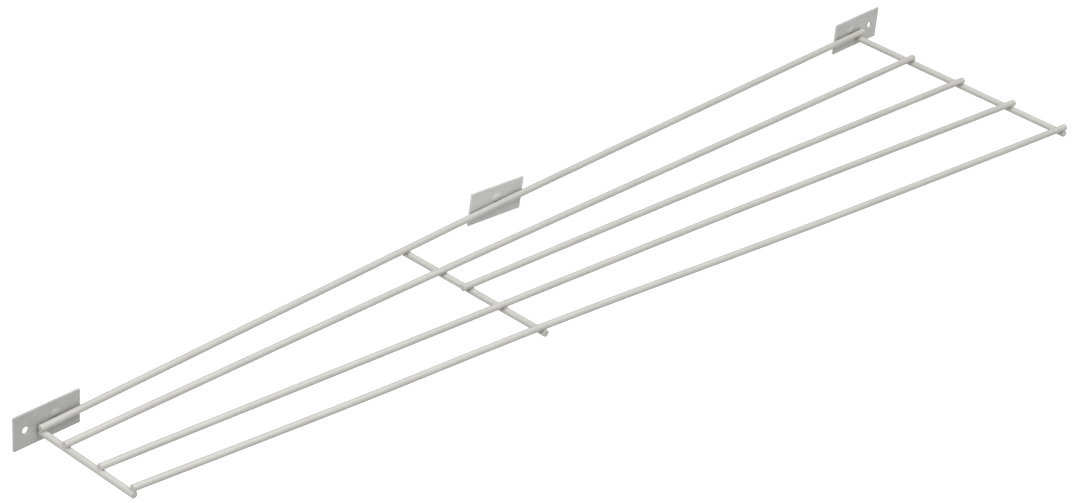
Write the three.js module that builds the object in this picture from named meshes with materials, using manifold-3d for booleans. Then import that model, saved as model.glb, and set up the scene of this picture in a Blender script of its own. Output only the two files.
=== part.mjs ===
// A welded wire grille that fans out from a narrow end to a wide end. Five long wires lie on top
// of three cross wires, and the wall wire is welded to three flat plates that fix it to a wall
// or a window frame. Everything is one rigid weldment with one smooth coating.
//
// Millimetres. X runs from the narrow end to the wide end, +Y points at the wall and +Z is up.
// The origin is the centre of the middle plate's back face.
import * as THREE from 'three';
import { mergeVertices } from 'three/addons/utils/BufferGeometryUtils.js';
import Module from 'manifold-3d';

const wasm = await Module();
wasm.setup();

// ---- Driving sizes ----

const wireDiameter = 3.7;        // 3.5 mm steel wire and its coating
const weldSetDown = 0.4;         // how far crossing wires are pressed into each other
const weldGap = 0.3;             // left between pieces that are welded together

const spanLength = 621.5;        // narrow cross wire to wide cross wire, axis to axis
const middleCrossFromEnd = 242;  // narrow cross wire to middle cross wire
const narrowDepth = 65.2;        // wall wire to front wire at the narrow cross wire
const middleDepth = 98;          // the same at the middle cross wire
const wideDepth = 149.8;         // the same at the wide cross wire
const camberRise = 1.6;          // the long wires stand this much higher at the middle cross wire
const wallWireRise = 2;          // and the wall wire this much at the middle plate

const thirdWireOverhang = 5.6;   // the short third wire past the middle cross wire's axis
const narrowCrossOverhang = 1.5; // the narrow cross wire past the front wire's axis
const middleCrossOverhang = 2.4; // and the middle cross wire

const plateWidth = 40.5;
const plateHeight = 19.5;
const plateThickness = 1.2;
const plateEdgeBreak = 0.15;     // punched edges, rounded off by the coating
const plateAboveWire = 0.7;      // plate centres above the wall wire's axis
const narrowPlateReach = 15.9;   // the narrow plate's outer edge past the narrow cross wire
const widePlateReach = 20.2;     // the wide plate's outer edge past the wide cross wire
const middlePlateFromEnd = 310.8; // narrow cross wire to the middle plate's centre
const endPlateTilt = 1.1;        // degrees, its right end down, as seen from the front
const middlePlateTilt = 5.5;
const screwHoleDiameter = 3.8;
const screwHoleFromEdge = 7.3;   // hole centre to the plate's outer edge

const nuggetReach = 0.6;         // weld metal squeezed out past the side of a wire
const nuggetHalfHeight = 1.7;
const tackFromInnerEdge = 15;    // plate tack weld to the end plate's inner edge
const tackAboveWire = 1;         // the bead's middle above the top of the wall wire
const tackHalfLength = 2.2;      // along the wall wire
const tackHalfHeight = 2.2;      // up and down the plate
const tackRise = 1.3;            // out from the plate

const wireSides = 14;
const wireSteps = 18;
const coatColour = 0xd8d8d2;
const weldColour = 0xcfcfca;

// ---- Places worked out from the sizes ----

const wireRadius = wireDiameter / 2;
const flush = wireRadius;        // an end level with the far side of the wire that it crosses
const crossingDrop = wireDiameter - weldSetDown;
const degree = Math.PI / 180;

// Pieces are placed with the narrow cross wire at x = 0 and the wall wire's narrow end at
// y = 0 and z = 0. The whole group is then shifted to put the origin at the middle plate.
const plateFrontY = wireRadius + weldGap;
const originX = middlePlateFromEnd;
const originY = plateFrontY + plateThickness;
const originZ = wallWireRise + plateAboveWire;

// Each long wire's distance from the wall wire at the cross wires it lies on, how far it bows
// outwards halfway along a bay, and how far it runs past its first and last cross wires.
const longWires = {
  wall_wire: { depths: { narrow: 0, middle: 0, wide: 0 }, ends: [flush, 4.2] },
  second_wire: { depths: { narrow: 18, middle: 27, wide: 40.5 }, ends: [1.6, 1] },
  third_wire: {
    depths: { middle: 46.4, wide: 77 },
    bows: { wide: -0.8 },
    ends: [thirdWireOverhang, 1.3],
  },
  fourth_wire: {
    depths: { narrow: 42.5, middle: 70.5, wide: 112.9 },
    bows: { wide: -1.4 },
    ends: [0.7, 2.5],
  },
  front_wire: {
    depths: { narrow: narrowDepth, middle: middleDepth, wide: wideDepth },
    bows: { narrow: 0.9, wide: 1.4 },
    ends: [0.2, flush],
  },
};

const crossWires = {
  narrow: { x: 0, z: 0, depth: narrowDepth, overhang: narrowCrossOverhang },
  middle: { x: middleCrossFromEnd, z: camberRise, depth: middleDepth, overhang: middleCrossOverhang },
  wide: { x: spanLength, z: 0, depth: wideDepth, overhang: flush },
};

// The plates' centres along the wall wire, the tack welds that hold them and their screw holes,
// which are measured from each plate's own centre.
const plates = {
  narrow_end_plate: {
    x: plateWidth / 2 - narrowPlateReach,
    tackX: plateWidth - narrowPlateReach - tackFromInnerEdge,
    holeX: screwHoleFromEdge - plateWidth / 2,
    tilt: endPlateTilt,
  },
  middle_plate: { x: middlePlateFromEnd, tackX: middlePlateFromEnd, tilt: middlePlateTilt },
  wide_end_plate: {
    x: spanLength + widePlateReach - plateWidth / 2,
    tackX: spanLength + widePlateReach - plateWidth + tackFromInnerEdge,
    holeX: plateWidth / 2 - screwHoleFromEdge,
    tilt: endPlateTilt,
  },
};

// ---- Materials, one look for the whole coated weldment ----

const coat = (color) => new THREE.MeshStandardMaterial({ color, roughness: 0.42, metalness: 0 });

// ---- Solids ----

const toSolid = (geometry) => {
  const bare = geometry.index ? geometry.toNonIndexed() : geometry.clone();
  bare.deleteAttribute('normal');
  bare.deleteAttribute('uv');
  const merged = mergeVertices(bare);
  return new wasm.Manifold(new wasm.Mesh({
    numProp: 3,
    vertProperties: new Float32Array(merged.attributes.position.array),
    triVerts: new Uint32Array(merged.index.array),
  }));
};

const toGeometry = (solid) => {
  const mesh = solid.getMesh();
  const geometry = new THREE.BufferGeometry();
  geometry.setAttribute('position', new THREE.BufferAttribute(mesh.vertProperties, 3));
  geometry.setIndex(new THREE.BufferAttribute(mesh.triVerts, 1));
  geometry.computeVertexNormals();
  return geometry;
};

const model = new THREE.Group();

const place = (name, geometry, color, position = new THREE.Vector3()) => {
  const mesh = new THREE.Mesh(geometry, coat(color));
  mesh.name = name;
  mesh.position.copy(position);
  model.add(mesh);
  return mesh;
};

// ---- Long wires ----

const roundSection = () => {
  const points = [];
  for (let i = 0; i < wireSides; i += 1) {
    const angle = (i / wireSides) * 2 * Math.PI;
    points.push(new THREE.Vector2(wireRadius * Math.cos(angle), wireRadius * Math.sin(angle)));
  }
  return new THREE.Shape(points);
};

// The bays between the cross wires.
const bays = { narrow: ['narrow', 'middle'], wide: ['middle', 'wide'] };

// A wire's axis runs through its stations and straight on past the first and the last.
const wireAxis = (name) => {
  const { depths, bows = {}, ends: [startOverhang, endOverhang] } = longWires[name];
  const onCross = (cross) => new THREE.Vector3(crossWires[cross].x, -depths[cross], crossWires[cross].z);
  const stations = Object.keys(depths).map(onCross);
  if (name === 'wall_wire') {
    stations.push(new THREE.Vector3(middlePlateFromEnd, 0, wallWireRise));
  }
  for (const [bay, bow] of Object.entries(bows)) {
    const [from, to] = bays[bay].map(onCross);
    const bowed = from.lerp(to, 0.5);
    bowed.y -= bow;
    stations.push(bowed);
  }
  stations.sort((a, b) => a.x - b.x);
  const runOn = (end, inner, overhang) => (
    end.clone().addScaledVector(end.clone().sub(inner).normalize(), overhang)
  );
  stations.unshift(runOn(stations[0], stations[1], startOverhang));
  stations.push(runOn(stations.at(-1), stations.at(-2), endOverhang));
  return new THREE.CatmullRomCurve3(stations, false, 'centripetal');
};

for (const name of Object.keys(longWires)) {
  const geometry = new THREE.ExtrudeGeometry(roundSection(), {
    extrudePath: wireAxis(name),
    steps: wireSteps,
  });
  place(name, geometry, coatColour);
}

// Where a wire's axis passes over the plane of a cross wire, and its direction there.
const crossingPoint = (name, x) => {
  const axis = wireAxis(name);
  let low = 0;
  let high = 1;
  for (let i = 0; i < 40; i += 1) {
    const middle = (low + high) / 2;
    if (axis.getPointAt(middle).x < x) low = middle;
    else high = middle;
  }
  return { point: axis.getPointAt(low), direction: axis.getTangentAt(low) };
};

// A round cutter a weld gap larger than a wire, lying along a direction through a point.
const wireCutter = (point, direction) => {
  const geometry = new THREE.CylinderGeometry(
    wireRadius + weldGap, wireRadius + weldGap, 6 * wireDiameter, 2 * wireSides,
  );
  const turn = new THREE.Quaternion().setFromUnitVectors(new THREE.Vector3(0, 1, 0), direction);
  geometry.applyQuaternion(turn);
  geometry.translate(point.x, point.y, point.z);
  return toSolid(geometry);
};

// ---- Cross wires, pressed into the underside of the long wires ----

for (const [name, cross] of Object.entries(crossWires)) {
  const length = cross.depth + cross.overhang + flush;
  const geometry = new THREE.CylinderGeometry(wireRadius, wireRadius, length, wireSides);
  geometry.translate(cross.x, flush - length / 2, cross.z - crossingDrop);
  let solid = toSolid(geometry);
  for (const [wire, { depths }] of Object.entries(longWires)) {
    if (name in depths) {
      const { point, direction } = crossingPoint(wire, cross.x);
      solid = solid.subtract(wireCutter(point, direction));
    }
  }
  place(`${name}_cross_wire`, toGeometry(solid), coatColour);
}

// ---- Mounting plates, behind the wall wire ----

const plateShape = (holeX) => {
  const shape = new THREE.Shape();
  shape.moveTo(-plateWidth / 2, -plateHeight / 2);
  shape.lineTo(plateWidth / 2, -plateHeight / 2);
  shape.lineTo(plateWidth / 2, plateHeight / 2);
  shape.lineTo(-plateWidth / 2, plateHeight / 2);
  shape.closePath();
  if (holeX !== undefined) {
    const hole = new THREE.Path();
    hole.absarc(holeX, 0, screwHoleDiameter / 2, 0, 2 * Math.PI, true);
    shape.holes.push(hole);
  }
  return shape;
};

const wallWireHeight = (x) => (x === middlePlateFromEnd ? wallWireRise : 0);

for (const [name, plate] of Object.entries(plates)) {
  const geometry = new THREE.ExtrudeGeometry(plateShape(plate.holeX), {
    depth: plateThickness - 2 * plateEdgeBreak,
    bevelEnabled: true,
    bevelThickness: plateEdgeBreak,
    bevelSize: plateEdgeBreak,
    bevelOffset: -plateEdgeBreak,
    bevelSegments: 1,
    curveSegments: 12,
  });
  geometry.translate(0, 0, plateEdgeBreak);
  geometry.rotateX(Math.PI / 2);
  geometry.rotateY(plate.tilt * degree);
  const backY = plateFrontY + plateThickness;
  const height = wallWireHeight(plate.x) + plateAboveWire;
  place(name, geometry, coatColour, new THREE.Vector3(plate.x, backY, height));
}

// ---- Welds ----

const ellipsoid = (centre, halfX, halfY, halfZ) => {
  const geometry = new THREE.SphereGeometry(1, 16, 10);
  geometry.scale(halfX, halfY, halfZ);
  geometry.translate(centre.x, centre.y, centre.z);
  return toSolid(geometry);
};

// Everything a weld gap in front of the plates and further towards the wall.
const wallSide = () => {
  const depth = 4 * plateThickness;
  const geometry = new THREE.BoxGeometry(2 * (spanLength + plateWidth), depth, 4 * plateHeight);
  geometry.translate(0, plateFrontY - weldGap + depth / 2, 0);
  return toSolid(geometry);
};

// A crossing weld is the ring of metal squeezed out between a long wire and the cross wire.
const crossingNugget = (name, cross) => {
  const { point, direction } = crossingPoint(name, cross.x);
  const below = point.clone().setZ(cross.z - crossingDrop);
  const contact = point.clone().add(below).multiplyScalar(0.5);
  const reach = wireRadius + nuggetReach;
  return ellipsoid(contact, reach, reach, nuggetHalfHeight)
    .subtract(wireCutter(point, direction))
    .subtract(wireCutter(below, new THREE.Vector3(0, 1, 0)))
    .subtract(wallSide());
};

for (const [name, { depths }] of Object.entries(longWires)) {
  for (const crossName of Object.keys(depths)) {
    const solid = crossingNugget(name, crossWires[crossName]);
    const wire = name.replace('_wire', '');
    place(`${crossName}_${wire}_weld`, toGeometry(solid), weldColour);
  }
}

// A tack weld is a bead that runs from the top of the wall wire up the plate.
for (const [name, plate] of Object.entries(plates)) {
  const { point, direction } = crossingPoint('wall_wire', plate.tackX);
  const middle = point.clone().add(new THREE.Vector3(0, plateFrontY, wireRadius + tackAboveWire));
  const solid = ellipsoid(middle, tackHalfLength, tackRise, tackHalfHeight)
    .subtract(wireCutter(point, direction))
    .subtract(wallSide());
  place(name.replace('plate', 'tack'), toGeometry(solid), weldColour);
}

model.position.set(-originX, -originY, -originZ);

export default model;
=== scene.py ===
# %% [markdown]
# # A welded wire grille with fixing plates
#
# The real object is five long steel wires welded on top of three short cross wires, with three
# flat steel plates on the wall side, all drawn through one light grey coating. The CAD model
# already holds every piece at its real size. This lesson gives each piece the surface that a
# plain CAD solid lacks: round smooth wires with softened ends, welds that have run into the
# wires they join, plates with rolled edges, and a coating that isn't perfectly even.

# %% Load the CAD model
import math

import bpy
from mathutils import Matrix, Vector


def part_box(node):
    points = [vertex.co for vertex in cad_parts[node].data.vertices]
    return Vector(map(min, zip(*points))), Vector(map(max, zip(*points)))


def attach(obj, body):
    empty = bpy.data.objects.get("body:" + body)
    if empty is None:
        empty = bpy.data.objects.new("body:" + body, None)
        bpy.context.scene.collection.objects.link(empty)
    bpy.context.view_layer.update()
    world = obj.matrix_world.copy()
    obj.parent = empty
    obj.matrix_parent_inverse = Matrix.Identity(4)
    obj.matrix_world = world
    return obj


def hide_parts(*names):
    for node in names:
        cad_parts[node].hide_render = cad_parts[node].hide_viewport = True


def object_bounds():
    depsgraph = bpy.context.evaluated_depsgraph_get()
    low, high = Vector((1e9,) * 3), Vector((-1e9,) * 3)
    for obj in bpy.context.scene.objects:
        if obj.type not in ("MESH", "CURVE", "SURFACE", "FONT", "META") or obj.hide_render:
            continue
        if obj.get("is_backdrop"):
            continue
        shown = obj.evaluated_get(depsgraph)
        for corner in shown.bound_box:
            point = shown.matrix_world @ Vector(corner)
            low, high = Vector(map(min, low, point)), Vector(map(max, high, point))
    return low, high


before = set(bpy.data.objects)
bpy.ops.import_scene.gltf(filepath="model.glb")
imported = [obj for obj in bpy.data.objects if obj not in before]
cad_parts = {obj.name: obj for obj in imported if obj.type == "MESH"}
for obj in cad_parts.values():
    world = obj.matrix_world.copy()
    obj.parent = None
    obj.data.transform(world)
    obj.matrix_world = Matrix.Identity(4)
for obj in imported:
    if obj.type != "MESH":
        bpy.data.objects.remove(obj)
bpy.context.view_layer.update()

# %% [markdown]
# ## Reading sizes from the CAD model
#
# Nothing below repeats a size that the CAD model already has. A long wire in CAD is a chain of
# rings, so the middle of each ring is a point on the wire's axis. The cross wires are straight
# rods along Y, and the middles of their boxes give their axes.

# %% Measure the wires
MM = 0.001
RING_GAP = 1 * MM
LONG_WIRES = ["wall_wire", "second_wire", "third_wire", "fourth_wire", "front_wire"]
CROSS_WIRES = ["narrow_cross_wire", "middle_cross_wire", "wide_cross_wire"]


def middle_of(points):
    """The centre of the box round some points."""
    low = Vector(map(min, zip(*points)))
    high = Vector(map(max, zip(*points)))
    return (low + high) / 2


def wire_rings(node):
    """The rings of a long wire's CAD mesh, from its lowest X to its highest."""
    points = sorted(vertex.co.to_tuple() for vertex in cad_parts[node].data.vertices)
    rings = [[points[0]]]
    for point in points[1:]:
        if point[0] - rings[-1][-1][0] > RING_GAP:
            rings.append([])
        rings[-1].append(point)
    return rings


def rod_axis(node):
    """The two ends of a cross wire's axis."""
    low, high = map(Vector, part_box(node))
    middle = (low + high) / 2
    return [Vector((middle.x, y, middle.z)) for y in (low.y, high.y)]


axes = {node: [middle_of(ring) for ring in wire_rings(node)] for node in LONG_WIRES}
axes.update({node: rod_axis(node) for node in CROSS_WIRES})
end_ring = wire_rings("wall_wire")[0]
wire_radius = max((Vector(point) - middle_of(end_ring)).length for point in end_ring)
print("wire radius in mm:", round(wire_radius / MM, 2))
print("axis points:", {node: len(axis) for node, axis in axes.items()})

# %% [markdown]
# ## Camera
#
# The camera looks down at the grille from beyond its narrow end, so the far end is smaller than
# the near one. A long lens from well back keeps that perspective mild.

# %% Camera
CAMERA_AT = Vector((-1.0774, -0.9801, 0.8681))
CAMERA_AIM = Vector((-0.016, -0.0491, -0.0027))
CAMERA_ROLL = math.radians(4.25)
CAMERA_LENS = 105.2

camera = bpy.data.objects.new("camera", bpy.data.cameras.new("camera"))
camera.data.lens = CAMERA_LENS
camera.data.sensor_width = 36
facing = (CAMERA_AIM - CAMERA_AT).to_track_quat("-Z", "Y").to_matrix().to_4x4()
camera.matrix_world = Matrix.Translation(CAMERA_AT) @ facing @ Matrix.Rotation(CAMERA_ROLL, 4, "Z")
bpy.context.scene.collection.objects.link(camera)
bpy.context.scene.camera = camera
print("camera to aim point in m:", round((CAMERA_AIM - CAMERA_AT).length, 3))

# %% [markdown]
# ## Node trees as sums
#
# A material or a Geometry Nodes tree is a long chain of small nodes, and writing each link by
# hand hides the idea. Here a socket is wrapped in a small class, so that ordinary arithmetic on
# it adds the Math node for numbers or the Vector Math node for vectors. Other nodes are added by
# add_node(), which takes the node's type, its settings and its inputs, or by the method node(),
# which calls it.

# %% The socket wrapper


class Socket:
    """An output socket that takes part in sums, products and differences."""

    def __init__(self, tree, socket):
        self.tree = tree
        self.socket = socket

    def node(self, kind, *inputs, **details):
        """Another node in the same tree."""
        return add_node(self.tree, kind, *inputs, **details)

    def math(self, operation, *others):
        """The Math or Vector Math node that fits this socket, with others as its further inputs."""
        if self.socket.type == "VECTOR":
            output = 1 if operation in ("LENGTH", "DOT_PRODUCT") else 0
            return self.node("ShaderNodeVectorMath", self, *others, output=output, operation=operation)
        return self.node("ShaderNodeMath", self, *others, operation=operation)

    def __add__(self, other):
        return self.math("ADD", other)

    def __radd__(self, other):
        return self.math("ADD", other)

    def __sub__(self, other):
        return self.math("SUBTRACT", other)

    def __rsub__(self, other):
        return self.node("ShaderNodeMath", other, self, operation="SUBTRACT")

    def __mul__(self, other):
        return self.math("MULTIPLY", other)

    def __rmul__(self, other):
        return self.math("MULTIPLY", other)

    def __truediv__(self, other):
        return self.math("DIVIDE", other)

    def scaled(self, factor):
        """A vector times a number."""
        return self.node("ShaderNodeVectorMath", self, named={"Scale": factor}, operation="SCALE")

    def between(self, low, high):
        """0 below low, 1 above high and a smooth step between."""
        return self.node("ShaderNodeMapRange", self, low, high, 0.0, 1.0, interpolation_type="SMOOTHSTEP")


def add_node(tree, kind, *inputs, output=0, named=None, **settings):
    """Adds a node: settings first, then its inputs in order and those given by name."""
    made = tree.nodes.new(kind)
    for name, value in settings.items():
        setattr(made, name, value)
    for key, value in [*enumerate(inputs), *(named or {}).items()]:
        if isinstance(value, Socket):
            tree.links.new(value.socket, made.inputs[key])
        elif value is not None:
            made.inputs[key].default_value = value
    return Socket(tree, made.outputs[output]) if made.outputs else None


MIX_FACTOR, MIX_FIRST_COLOUR, MIX_SECOND_COLOUR, MIXED_COLOUR = 0, 6, 7, 2


def mixed(factor, first, second):
    """A colour between two others."""
    return factor.node(
        "ShaderNodeMix", named={MIX_FACTOR: factor, MIX_FIRST_COLOUR: first, MIX_SECOND_COLOUR: second},
        output=MIXED_COLOUR, data_type="RGBA"
    )


print("sockets can now be added, subtracted, multiplied and divided")

# %% [markdown]
# ## Light
#
# The light is a pale studio tent, much the same all round but a little dimmer and warmer from
# below, so that a wire's underside stays darker than its top. One large soft panel hangs high in
# front of the grille and makes the upper half of each long wire evenly light. A second one stands
# well beyond the narrow end, where it lights the near side of the cross wires and the wires' cut
# ends. Two panels were chosen over a sun because their wide soft light leaves no hard shadows.

# %% Light
TOP_PANEL_SIZE = 1.9
TOP_PANEL_POWER = 19
TOP_PANEL_AT = Vector((-0.25, -0.54, 1.33))
END_PANEL_SIZE = 1.6
END_PANEL_POWER = 14
END_PANEL_AT = Vector((-2.1, -0.25, 1.15))
TENT_ABOVE = (0.43, 0.43, 0.43, 1)
TENT_BELOW = (0.27, 0.265, 0.25, 1)
TENT_FADE = (-0.35, 0.35)
GENERATED, OBJECT = 0, 3
Y, Z = 1, 2


def soft_panel(name, place, size, power):
    """A square area light at a place, turned to face the grille."""
    light = bpy.data.lights.new(name, "AREA")
    light.size = size
    light.energy = power
    panel = bpy.data.objects.new(name, light)
    facing = (-place).to_track_quat("-Z", "Y").to_matrix().to_4x4()
    panel.matrix_world = Matrix.Translation(place) @ facing
    bpy.context.scene.collection.objects.link(panel)
    return panel


def studio_tent(name, above, below, fade):
    """A world that is one colour above the horizon and another below it."""
    world = bpy.data.worlds.new(name)
    world.use_nodes = True
    tree = world.node_tree
    tree.nodes.clear()
    direction = add_node(tree, "ShaderNodeTexCoord", output=GENERATED)
    height = direction.node("ShaderNodeSeparateXYZ", direction, output=Z)
    glow = mixed(height.between(*fade), below, above)
    add_node(tree, "ShaderNodeOutputWorld", glow.node("ShaderNodeBackground", glow))
    return world


soft_panel("top_panel", TOP_PANEL_AT, TOP_PANEL_SIZE, TOP_PANEL_POWER)
soft_panel("end_panel", END_PANEL_AT, END_PANEL_SIZE, END_PANEL_POWER)
bpy.context.scene.world = studio_tent("studio_tent", TENT_ABOVE, TENT_BELOW, TENT_FADE)
bpy.context.scene.view_settings.view_transform = "Standard"
print("panel powers in W:", TOP_PANEL_POWER, END_PANEL_POWER)

# %% [markdown]
# ## The coating
#
# The wires and plates carry one light grey coat with a satin gloss. Up close it isn't flat: its
# tone drifts a little over a few centimetres, it has a fine grain and a few specks of dust, its
# gloss is uneven and its surface has a fine orange peel. Each of these is a noise of its own size
# on Object coordinates, so the pattern stays on the piece whatever its shape. Noise was chosen
# over an image because it has no seams and stays sharp.
#
# Where two pieces meet, the crease is darkened with painted shade. The Ambient Occlusion node finds such
# places from the shapes alone, so no mask has to be drawn.
#
# The real plates look unequally bright, perhaps because they lean differently. Here they lie in one
# plane, so that the part mounts flat, and each plate's coat carries painted light and shade instead, made
# lighter or darker to stand in for the lean. It is a choice for the looks, and the real paint may well be
# the same on all three.

# %% The coating as a recipe
GRAIN_SIZE = 1.3 * MM
SPECK_SIZE = 1.1 * MM
GLOSS_PATCH = 6 * MM
FINE_PEEL = 0.9 * MM
BROAD_PEEL = 4 * MM
FINE_PEEL_SHARE = 0.7
BROAD_PEEL_SHARE = 1.5
DRIFTED_LIGHTNESS = 0.91
GRAIN_LIGHTNESS = 0.7
SPECK_STRENGTH = 0.25
GLOSS_SPREAD = 0.16
GRAIN_EDGES = (0.4, 0.62)
SPECK_EDGES = (0.68, 0.76)
OPEN_EDGES = (0.3, 0.85)
DUST_TONE = (0.45, 0.44, 0.41, 1)
# The colour of the painted shade laid in creases.
PAINTED_SHADE_TONE = (0.17, 0.155, 0.13, 1)


def noise(point, size, detail=2.0):
    """Noise from 0 to 1 whose patches are about this size, in metres."""
    return point.node("ShaderNodeTexNoise", named={"Vector": point, "Scale": 1 / size, "Detail": detail})


def shaded(tone, lightness):
    """A tone made lighter or darker, as a colour with alpha."""
    return (*(part * lightness for part in tone[:3]), 1)


def coat_colour(point, tone, patch_size, contrast, grain, crease_reach, dirt):
    """The coat's colour: tone drift, then grain, then dust, then painted shade in the creases."""
    patches = noise(point, patch_size, 3.0).between(0.5 - contrast, 0.5 + contrast)
    drifted = mixed(patches, shaded(tone, 1.0), shaded(tone, DRIFTED_LIGHTNESS))
    grains = noise(point, GRAIN_SIZE, 3.0).between(*GRAIN_EDGES)
    grainy = mixed(grains * grain, drifted, shaded(tone, GRAIN_LIGHTNESS))
    specks = noise(point, SPECK_SIZE, 4.0).between(*SPECK_EDGES)
    dusty = mixed(specks * SPECK_STRENGTH, grainy, DUST_TONE)
    # Painted shade: the colour is darkened where ambient occlusion finds a crease between pieces.
    openness = point.node(
        "ShaderNodeAmbientOcclusion", named={"Distance": crease_reach}, output=1, samples=8
    )
    crease = 1 - openness.between(*OPEN_EDGES)
    return mixed(crease * dirt, dusty, PAINTED_SHADE_TONE)


def coating(name, roughness, peel_height, **colouring):
    """A satin coat with uneven gloss and an orange peel of the given height."""
    material = bpy.data.materials.new(name)
    material.use_nodes = True
    tree = material.node_tree
    tree.nodes.clear()
    point = add_node(tree, "ShaderNodeTexCoord", output=OBJECT)
    colour = coat_colour(point, **colouring)
    gloss = noise(point, GLOSS_PATCH, 3.0) * GLOSS_SPREAD + (roughness - GLOSS_SPREAD / 2)
    peel = noise(point, FINE_PEEL, 1.0) * FINE_PEEL_SHARE + noise(point, BROAD_PEEL) * BROAD_PEEL_SHARE
    bump = peel.node(
        "ShaderNodeBump", named={"Height": peel, "Distance": peel_height, "Strength": 0.8}
    )
    shader = colour.node(
        "ShaderNodeBsdfPrincipled",
        named={"Base Color": colour, "Roughness": gloss, "Normal": bump, "Coat Weight": 0.1,
               "Coat Roughness": 0.25, "IOR": 1.5},
    )
    add_node(tree, "ShaderNodeOutputMaterial", shader)
    return material


print("coating recipe ready, grain size in mm:", GRAIN_SIZE / MM)

# %% Coating materials
WIRE_TONE = (0.63, 0.625, 0.59)
PLATE_TONE = (0.6, 0.607, 0.592)
# Painted light and shade: each plate's coat is made lighter or darker in place of the light that its lean
# would catch.
PLATE_PAINTED_LIGHT = {"narrow_end_plate": 0.97, "middle_plate": 1.3, "wide_end_plate": 1.18}

# The last setting of each coat is the strength of its painted crease shade.
wire_coat = coating(
    "satin_wire", roughness=0.36, peel_height=0.05 * MM, tone=WIRE_TONE, patch_size=30 * MM,
    contrast=0.3, grain=0.06, crease_reach=3 * MM, dirt=0.8
)
weld_coat = coating(
    "satin_weld", roughness=0.42, peel_height=0.06 * MM, tone=WIRE_TONE, patch_size=5 * MM,
    contrast=0.25, grain=0.1, crease_reach=3 * MM, dirt=0.9
)
plate_coats = {
    node: coating(
        "satin_" + node, roughness=0.4, peel_height=0.08 * MM, tone=shaded(PLATE_TONE, lightness),
        patch_size=9 * MM, contrast=0.25, grain=0.3, crease_reach=1 * MM, dirt=0.3
    )
    for node, lightness in PLATE_PAINTED_LIGHT.items()
}
print("materials:", [material.name for material in bpy.data.materials])

# %% [markdown]
# ## The floor
#
# A plain pale floor lies some way under the grille, far enough that the wires' shadows are lost
# in it. One large square is enough, with a matte white paint that glows a little so that it
# comes out evenly pale. It is hidden from diffuse rays, so only the gloss of the pieces sees it,
# and their undersides take their soft light from the tent.

# %% Floor
FLOOR_DROP = 0.45
FLOOR_HALF = 12
FLOOR_GLOW = 0.5

floor_mesh = bpy.data.meshes.new("floor")
corners = [
    (x * FLOOR_HALF, y * FLOOR_HALF, -FLOOR_DROP) for x, y in ((-1, -1), (1, -1), (1, 1), (-1, 1))
]
floor_mesh.from_pydata(corners, [], [(0, 1, 2, 3)])
floor = bpy.data.objects.new("floor", floor_mesh)
floor_paint = bpy.data.materials.new("floor_paint")
floor_paint.use_nodes = True
paint = floor_paint.node_tree.nodes["Principled BSDF"].inputs
paint["Base Color"].default_value = (0.92, 0.92, 0.92, 1)
paint["Roughness"].default_value = 0.9
paint["Emission Color"].default_value = (1, 1, 1, 1)
paint["Emission Strength"].default_value = FLOOR_GLOW
floor_mesh.materials.append(floor_paint)
floor.visible_diffuse = False
bpy.context.scene.collection.objects.link(floor)
floor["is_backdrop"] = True
print("floor below the grille in m:", FLOOR_DROP)

# %% [markdown]
# ## Running a Geometry Nodes tree once
#
# Each kind of piece below is a Geometry Nodes tree with named sizes. A tree is run on a host
# object that holds a line and the tree's modifier: the inputs are set by their identifiers, the
# result is read back as a plain mesh, and the host and its modifier are thrown away.

# %% Tree helpers


def new_tree(name, **sizes):
    """A Geometry Nodes tree with a named input for each size. Returns it and its input sockets."""
    tree = bpy.data.node_groups.new(name, "GeometryNodeTree")
    tree.interface.new_socket("Geometry", in_out="OUTPUT", socket_type="NodeSocketGeometry")
    tree.interface.new_socket("Geometry", in_out="INPUT", socket_type="NodeSocketGeometry")
    for label, kind in sizes.items():
        tree.interface.new_socket(label, in_out="INPUT", socket_type="NodeSocket" + kind)
    entry = tree.nodes.new("NodeGroupInput")
    return tree, {socket.name: Socket(tree, socket) for socket in entry.outputs if socket.name}


def join(first, second):
    """Two geometries as one. The join node takes both through its one input."""
    both = first.node("GeometryNodeJoinGeometry", second)
    first.tree.links.new(first.socket, both.socket.node.inputs[0])
    return both


def close_tree(geometry, material):
    """Ends a tree: smooth shading, real geometry in place of instances, and a material."""
    smooth = geometry.node("GeometryNodeSetShadeSmooth", geometry)
    real = geometry.node("GeometryNodeRealizeInstances", smooth)
    painted = geometry.node("GeometryNodeSetMaterial", real, named={"Material": material})
    geometry.node("NodeGroupOutput", painted)


def grow(name, tree, points, material, **sizes):
    """Runs a tree on a line through some points and returns the result as a new plain piece."""
    line = bpy.data.meshes.new(name + "_line")
    line.from_pydata(points, [(i, i + 1) for i in range(len(points) - 1)], [])
    host = bpy.data.objects.new(name + "_host", line)
    bpy.context.scene.collection.objects.link(host)
    modifier = host.modifiers.new("shape", "NODES")
    modifier.node_group = tree
    for item in tree.interface.items_tree:
        if item.in_out == "INPUT" and item.name in sizes:
            modifier[item.identifier] = sizes[item.name]
        elif item.in_out == "INPUT" and item.name == "Material":
            modifier[item.identifier] = material
    host_now = host.evaluated_get(bpy.context.evaluated_depsgraph_get())
    mesh = bpy.data.meshes.new_from_object(host_now)
    mesh.name = name
    mesh.materials.clear()
    mesh.materials.append(material)
    bpy.data.objects.remove(host)
    bpy.data.meshes.remove(line)
    piece = bpy.data.objects.new(name, mesh)
    bpy.context.scene.collection.objects.link(piece)
    return piece


pieces = {}
print("helpers ready:", [helper.__name__ for helper in (new_tree, join, close_tree, grow)])

# %% [markdown]
# ## The wires
#
# A wire is a round bar cut to length. Coating softens its cut ends, leaves them slightly fat
# where it drains and dries, and never has quite the same thickness along the bar. So a circle
# is swept along the axis, with rings close together at both ends, where the rim is rounded, and
# further apart between them. A curve object with a round bevel could sweep a similar tube, but a
# tree also rounds the ends and takes the eight wires through one rule.

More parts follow.
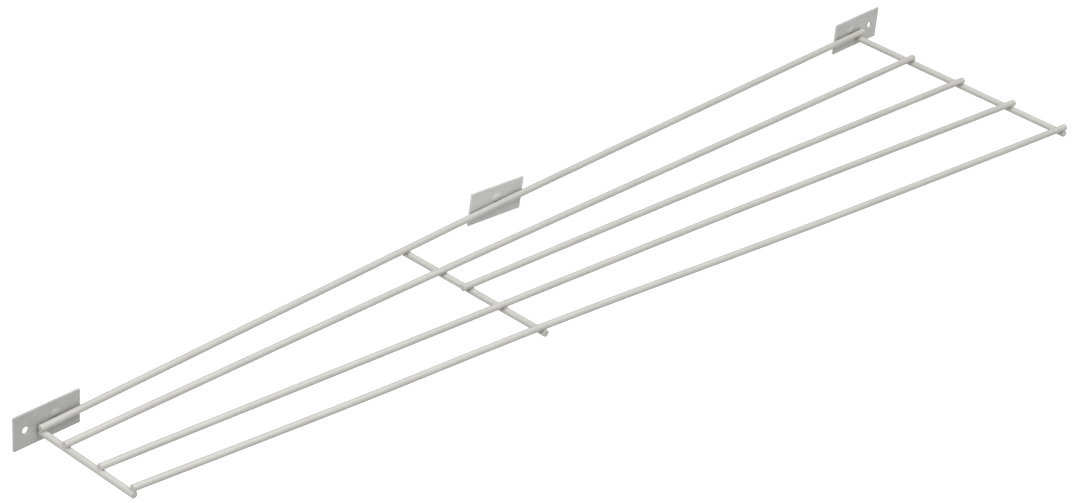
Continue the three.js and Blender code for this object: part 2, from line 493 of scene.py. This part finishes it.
# %% Wire tree
tree, size = new_tree(
    "coated_wire", **{"Wire radius": "Float", "Rings": "Int", "Sides": "Int", "End rounding": "Float",
                      "End bead": "Float", "Ripple": "Float", "Material": "Material"}
)
END_CROWDING = 0.985
BEAD_LENGTH = 2.5 * MM
RIPPLE_PATCH = 9 * MM

line = size["Geometry"].node("GeometryNodeMeshToCurve", size["Geometry"])
path = line.node("GeometryNodeCurveSplineType", line, spline_type="CATMULL_ROM")
length = path.node("GeometryNodeCurveLength", path)
rings = path.node("GeometryNodeResampleCurve", path, named={"Count": size["Rings"]})
step = path.node("GeometryNodeInputIndex") / (size["Rings"] - 1)
wave = (step * (2 * math.pi)).math("SINE") * (END_CROWDING / (2 * math.pi))
share = step - wave
place = path.node(
    "GeometryNodeSampleCurve", named={"Curves": path, "Factor": share}, output=1, mode="FACTOR"
)
spaced = path.node("GeometryNodeSetPosition", rings, named={"Position": place})
to_end = share.math("MINIMUM", 1 - share) * length
kept = path.node("GeometryNodeStoreNamedAttribute", spaced,
                 named={"Name": "to_end", "Value": to_end}, data_type="FLOAT", domain="POINT")
rim = (1 - to_end / size["End rounding"]).math("MAXIMUM", 0.0)
inset = size["End rounding"] * (1 - (1 - rim * rim).math("SQRT"))
circle = path.node(
    "GeometryNodeCurvePrimitiveCircle", size["Sides"], named={"Radius": size["Wire radius"]}
)
tube = path.node(
    "GeometryNodeCurveToMesh", kept, circle,
    named={"Scale": 1 - inset / size["Wire radius"], "Fill Caps": True}
)
from_end = path.node("GeometryNodeInputNamedAttribute", named={"Name": "to_end"}, data_type="FLOAT")
point = path.node("GeometryNodeInputPosition")
swell = noise(point, RIPPLE_PATCH, 1.0) - 0.5
bead = (1 - from_end.between(0.0, BEAD_LENGTH)) * size["End bead"]
normal = path.node("GeometryNodeInputNormal")
coated = path.node(
    "GeometryNodeSetPosition", tube, named={"Offset": normal.scaled(swell * size["Ripple"] + bead)}
)
close_tree(coated, size["Material"])
wire_tree = tree
print("wire tree nodes:", len(wire_tree.nodes))

# %% Wires
LONG_WIRE_RINGS = 320
CROSS_WIRE_RINGS = 140
WIRE_FINISH = {"Sides": 32, "End rounding": 0.3 * MM, "End bead": 0.04 * MM, "Ripple": 0.12 * MM}

for node, axis in axes.items():
    rings = LONG_WIRE_RINGS if node in LONG_WIRES else CROSS_WIRE_RINGS
    pieces[node] = grow(
        "coated_" + node, wire_tree, axis, wire_coat,
        **{"Wire radius": wire_radius, "Rings": rings, **WIRE_FINISH}
    )
    print(pieces[node].name, len(pieces[node].data.polygons), "faces")

# %% [markdown]
# ## The welds where wires cross
#
# Resistance welding presses the hot wires into each other until some metal is squeezed out into
# the corner all round. The clean way to draw that is a distance field: the distance to one rod
# and the distance to the other, joined by a smooth minimum, which fills the corner with a
# fillet. Volume Cube samples the field and Volume to Mesh draws its zero surface. A little
# away from the crossing the surface dives under the wires, so no edge shows.

# %% Distance fields
BALL_MARGIN = 1.05


def rod_distance(point, start, end, radius, rounding):
    """The distance from a point to a rod with flat, slightly rounded ends."""
    run = end - start
    half = run.math("LENGTH") * 0.5
    direction = run.math("NORMALIZE")
    across = point - (start + end).scaled(0.5)
    along = across.math("DOT_PRODUCT", direction)
    side = (across - direction.scaled(along)).math("LENGTH") - radius
    past = along.math("ABSOLUTE") - half
    return side.math("SMOOTH_MAX", past, rounding)


def close_field(distance, from_centre, centre, size):
    """Ends a tree with a distance field's zero surface, inside a ball of the given reach."""
    limited = distance.math("MAXIMUM", from_centre - size["Reach"])
    reach = distance.node("ShaderNodeCombineXYZ", size["Reach"], size["Reach"], size["Reach"])
    extent = reach.scaled(BALL_MARGIN)
    volume = distance.node(
        "GeometryNodeVolumeCube", limited * -1.0, -1.0, centre - extent, centre + extent,
        size["Cells"], size["Cells"], size["Cells"]
    )
    surface = distance.node("GeometryNodeVolumeToMesh", volume, named={"Threshold": 0.0})
    close_tree(surface, size["Material"])


print("field helpers ready:", rod_distance.__name__, close_field.__name__)

# %% Weld tree
CUT_END_ROUNDING = 0.3 * MM
WELD_BUMP_PATCH = 1.6 * MM
WELD_BUMP_HEIGHT = 0.16 * MM

tree, size = new_tree(
    "crossing_weld", **{"Upper start": "Vector", "Upper end": "Vector", "Lower start": "Vector",
                        "Lower end": "Vector", "Centre": "Vector", "Wire radius": "Float",
                        "Fillet": "Float", "Reach": "Float", "Swell": "Float", "Sink": "Float",
                        "Cells": "Int", "Material": "Material"}
)
point = size["Geometry"].node("GeometryNodeInputPosition")
radius = size["Wire radius"]
upper = rod_distance(point, size["Upper start"], size["Upper end"], radius, CUT_END_ROUNDING)
lower = rod_distance(point, size["Lower start"], size["Lower end"], radius, CUT_END_ROUNDING)
joined = upper.math("SMOOTH_MIN", lower, size["Fillet"])
from_centre = (point - size["Centre"]).math("LENGTH")
dive = from_centre / size["Reach"]
rough = (noise(point, WELD_BUMP_PATCH, 1.0) - 0.5) * WELD_BUMP_HEIGHT
distance = joined + rough - size["Swell"] + dive * dive * (size["Swell"] + size["Sink"])
close_field(distance, from_centre, size["Centre"], size)
weld_tree = tree
print("weld tree nodes:", len(weld_tree.nodes))

# %% Crossing welds


def point_at(axis, along, value):
    """Where a wire's axis reaches a value of X (0) or Y (1)."""
    for start, end in zip(axis, axis[1:]):
        if start[along] <= value <= end[along]:
            return start.lerp(end, (value - start[along]) / (end[along] - start[along]))
    return axis[0] if value < axis[0][along] else axis[-1]


def short_rod(axis, along, middle, reach):
    """The stretch of a wire that a weld can see, stopped at the wire's own ends."""
    return [point_at(axis, along, middle[along] - reach), point_at(axis, along, middle[along] + reach)]


WELD_REACH = 5.5 * MM
WELD_FINISH = {"Reach": WELD_REACH, "Fillet": 1.0 * MM, "Swell": 0.0, "Sink": 0.2 * MM, "Cells": 56}

for cross in CROSS_WIRES:
    rod = axes[cross]
    station = rod[0].x
    for wire in LONG_WIRES:
        if axes[wire][0].x > station:
            continue
        top = point_at(axes[wire], 0, station)
        below = point_at(rod, 1, top.y)
        upper = short_rod(axes[wire], 0, top, 2 * WELD_REACH)
        lower = short_rod(rod, 1, below, 2 * WELD_REACH)
        node = f"{cross.removesuffix('_cross_wire')}_{wire.removesuffix('_wire')}_weld"
        pieces[node] = grow(
            "melted_" + node, weld_tree, [top, below], weld_coat,
            **{"Upper start": upper[0], "Upper end": upper[1], "Lower start": lower[0],
               "Lower end": lower[1], "Centre": (top + below) / 2, "Wire radius": wire_radius,
               **WELD_FINISH}
        )
        print(pieces[node].name, len(pieces[node].data.polygons), "faces")

# %% [markdown]
# ## The fixing plates
#
# Each plate is a blank sheared from sheet steel, and the end plates have one punched screw hole.
# The outline and the hole are curves, filled and pushed out to the sheet's thickness. A Boolean
# could cut the hole instead, but two filled curves give a clean rim. A Bevel modifier then rolls
# the sheared edges as the coating does on the real ones.

# %% Plate tree
tree, size = new_tree(
    "sheared_plate", **{"Width": "Float", "Height": "Float", "Thickness": "Float",
                        "Corner radius": "Float", "Hole radius": "Float", "Hole offset": "Float",
                        "Back centre": "Vector", "Tilt": "Float", "Material": "Material"}
)
start = size["Geometry"]
CORNER_STEPS = 6
HOLE_SIDES = 48

outline = start.node("GeometryNodeCurvePrimitiveQuadrilateral", size["Width"], size["Height"])
rounded = start.node(
    "GeometryNodeFilletCurve", outline, named={"Radius": size["Corner radius"], "Count": CORNER_STEPS},
    mode="POLY"
)
hole = start.node("GeometryNodeCurvePrimitiveCircle", HOLE_SIDES, named={"Radius": size["Hole radius"]})
hole_place = start.node("ShaderNodeCombineXYZ", size["Hole offset"], 0.0, 0.0)
moved_hole = start.node("GeometryNodeTransform", hole, named={"Translation": hole_place})
has_hole = size["Hole radius"].math("GREATER_THAN", 0.0)
kept_hole = start.node("GeometryNodeSwitch", has_hole, None, moved_hole, input_type="GEOMETRY")
sheet = start.node("GeometryNodeFillCurve", join(rounded, kept_hole), mode="NGONS")
thick = start.node(
    "GeometryNodeExtrudeMesh", sheet, named={"Offset Scale": size["Thickness"], "Individual": False}
)
back = start.node("GeometryNodeFlipFaces", sheet)
closed = start.node("GeometryNodeMergeByDistance", join(back, thick))
turn = start.node("ShaderNodeCombineXYZ", math.pi / 2, size["Tilt"], 0.0)
placed = start.node(
    "GeometryNodeTransform", closed, named={"Translation": size["Back centre"], "Rotation": turn}
)
close_tree(placed, size["Material"])
plate_tree = tree
print("plate tree nodes:", len(plate_tree.nodes))

# %% Plates
CORNER_RADIUS = 0.5 * MM
EDGE_ROLL = 0.18 * MM
EDGE_STEPS = 4
RIM_MARGIN = 1 * MM


def plate_frame(node):
    """A plate's middle, the directions to its right edge and its top edge, and its half sizes."""
    points = [vertex.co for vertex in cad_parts[node].data.vertices]
    top_left, top_right, low_left, low_right = (
        max(points, key=lambda p: right * p.x + up * p.z)
        for right, up in ((-1, 1), (1, 1), (-1, -1), (1, -1))
    )
    middle = (top_left + top_right + low_left + low_right) / 4
    along, upward = (top_right - top_left) / 2, (top_left - low_left) / 2
    return middle, along.normalized(), upward.normalized(), along.length, upward.length


def screw_hole(node):
    """The radius of a plate's hole and its distance to the right of the middle, or zeros."""
    middle, right, up, half_width, half_height = plate_frame(node)
    offsets = [vertex.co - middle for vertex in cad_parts[node].data.vertices]
    rim = [
        offset.dot(right) for offset in offsets
        if abs(offset.dot(right)) < half_width - RIM_MARGIN
        and abs(offset.dot(up)) < half_height - RIM_MARGIN
    ]
    if not rim:
        return 0.0, 0.0
    return (max(rim) - min(rim)) / 2, (max(rim) + min(rim)) / 2


for node, plate_coat in plate_coats.items():
    low, high = map(Vector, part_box(node))
    middle, right, up, half_width, half_height = plate_frame(node)
    tilt = math.atan2(-right.z, right.x)
    hole_radius, hole_offset = screw_hole(node)
    pieces[node] = grow(
        "rolled_" + node, plate_tree, [low, high], plate_coat,
        **{"Width": 2 * half_width, "Height": 2 * half_height, "Thickness": high.y - low.y,
           "Corner radius": CORNER_RADIUS, "Hole radius": hole_radius, "Hole offset": hole_offset,
           "Back centre": Vector((middle.x, high.y, middle.z)), "Tilt": tilt}
    )
    rolled = pieces[node].modifiers.new("rolled_edges", "BEVEL")
    rolled.width = EDGE_ROLL
    rolled.segments = EDGE_STEPS
    rolled.limit_method = "ANGLE"
    rolled.harden_normals = True
    print(pieces[node].name, "tilt in degrees:", round(math.degrees(tilt), 1))
    print("    hole radius in mm:", round(hole_radius / MM, 2))

# %% [markdown]
# ## The tack welds on the plates
#
# A plate is held to the wall wire by a small bead laid in the corner above the wire. It is the
# same kind of distance field as a crossing weld, with the sheet in place of the lower rod and an
# egg-shaped bead as a third shape, so it is drawn by the same helpers. It takes the coat of the
# plate that it sits on.

# %% Tack tree
WIRE_END_ROUNDING = 0.4 * MM
EGG_SCALE = 1.4 * MM
BEAD_FILLET = 0.7 * MM
TACK_BUMP_PATCH = 1.3 * MM
TACK_BUMP_HEIGHT = 0.3 * MM

tree, size = new_tree(
    "plate_tack", **{"Wire start": "Vector", "Wire end": "Vector", "Sheet middle": "Float",
                     "Sheet thickness": "Float", "Bead centre": "Vector", "Bead half size": "Vector",
                     "Wire radius": "Float", "Fillet": "Float", "Reach": "Float", "Sink": "Float",
                     "Cells": "Int", "Material": "Material"}
)
point = size["Geometry"].node("GeometryNodeInputPosition")
wire = rod_distance(
    point, size["Wire start"], size["Wire end"], size["Wire radius"], WIRE_END_ROUNDING
)
depth = point.node("ShaderNodeSeparateXYZ", point, output=Y)
sheet = (depth - size["Sheet middle"]).math("ABSOLUTE") - size["Sheet thickness"] * 0.5
stretched = ((point - size["Bead centre"]) / size["Bead half size"]).math("LENGTH")
egg = (stretched - 1.0) * EGG_SCALE
from_centre = (point - size["Bead centre"]).math("LENGTH")
dive = from_centre / size["Reach"]
corner = wire.math("SMOOTH_MIN", sheet, size["Fillet"]) + dive * dive * size["Sink"]
rough = (noise(point, TACK_BUMP_PATCH, 1.0) - 0.5) * TACK_BUMP_HEIGHT
distance = corner.math("SMOOTH_MIN", egg, BEAD_FILLET) + rough
close_field(distance, from_centre, size["Bead centre"], size)
tack_tree = tree
print("tack tree nodes:", len(tack_tree.nodes))

# %% Tacks
TACK_REACH = 5 * MM
BEAD_HALF_SIZE = Vector((2.9, 0.55, 2.2)) * MM
TACK_FINISH = {"Bead half size": BEAD_HALF_SIZE, "Fillet": 0.8 * MM, "Reach": TACK_REACH,
               "Sink": 0.5 * MM, "Cells": 48}

for plate, plate_coat in plate_coats.items():
    node = plate.replace("plate", "tack")
    low, high = map(Vector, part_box(node))
    plate_low, plate_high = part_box(plate)
    wire_point = point_at(axes["wall_wire"], 0, (low.x + high.x) / 2)
    bead_centre = Vector((wire_point.x, plate_low[1], (low.z + high.z) / 2))
    wire_start, wire_end = short_rod(axes["wall_wire"], 0, wire_point, 3 * TACK_REACH)
    pieces[node] = grow(
        "melted_" + node, tack_tree, [low, high], plate_coat,
        **{"Wire start": wire_start, "Wire end": wire_end,
           "Sheet middle": (plate_low[1] + plate_high[1]) / 2,
           "Sheet thickness": plate_high[1] - plate_low[1],
           "Bead centre": bead_centre, "Wire radius": wire_radius, **TACK_FINISH}
    )
    print(pieces[node].name, len(pieces[node].data.polygons), "faces")

# %% [markdown]
# ## Handing the pieces over
#
# Every piece rides on the one body, because the whole grille is welded and nothing moves. Each stands for
# its CAD node, which is hidden. The box round the finished meshes is printed, so that it can be set
# beside the CAD model's size.

# %% Ride, replace and finish
for node, piece in pieces.items():
    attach(piece, "root")
    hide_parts(node)

low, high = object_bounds()
print("pieces:", len(pieces), "visual box in mm:", [round((b - a) / MM, 1) for a, b in zip(low, high)])
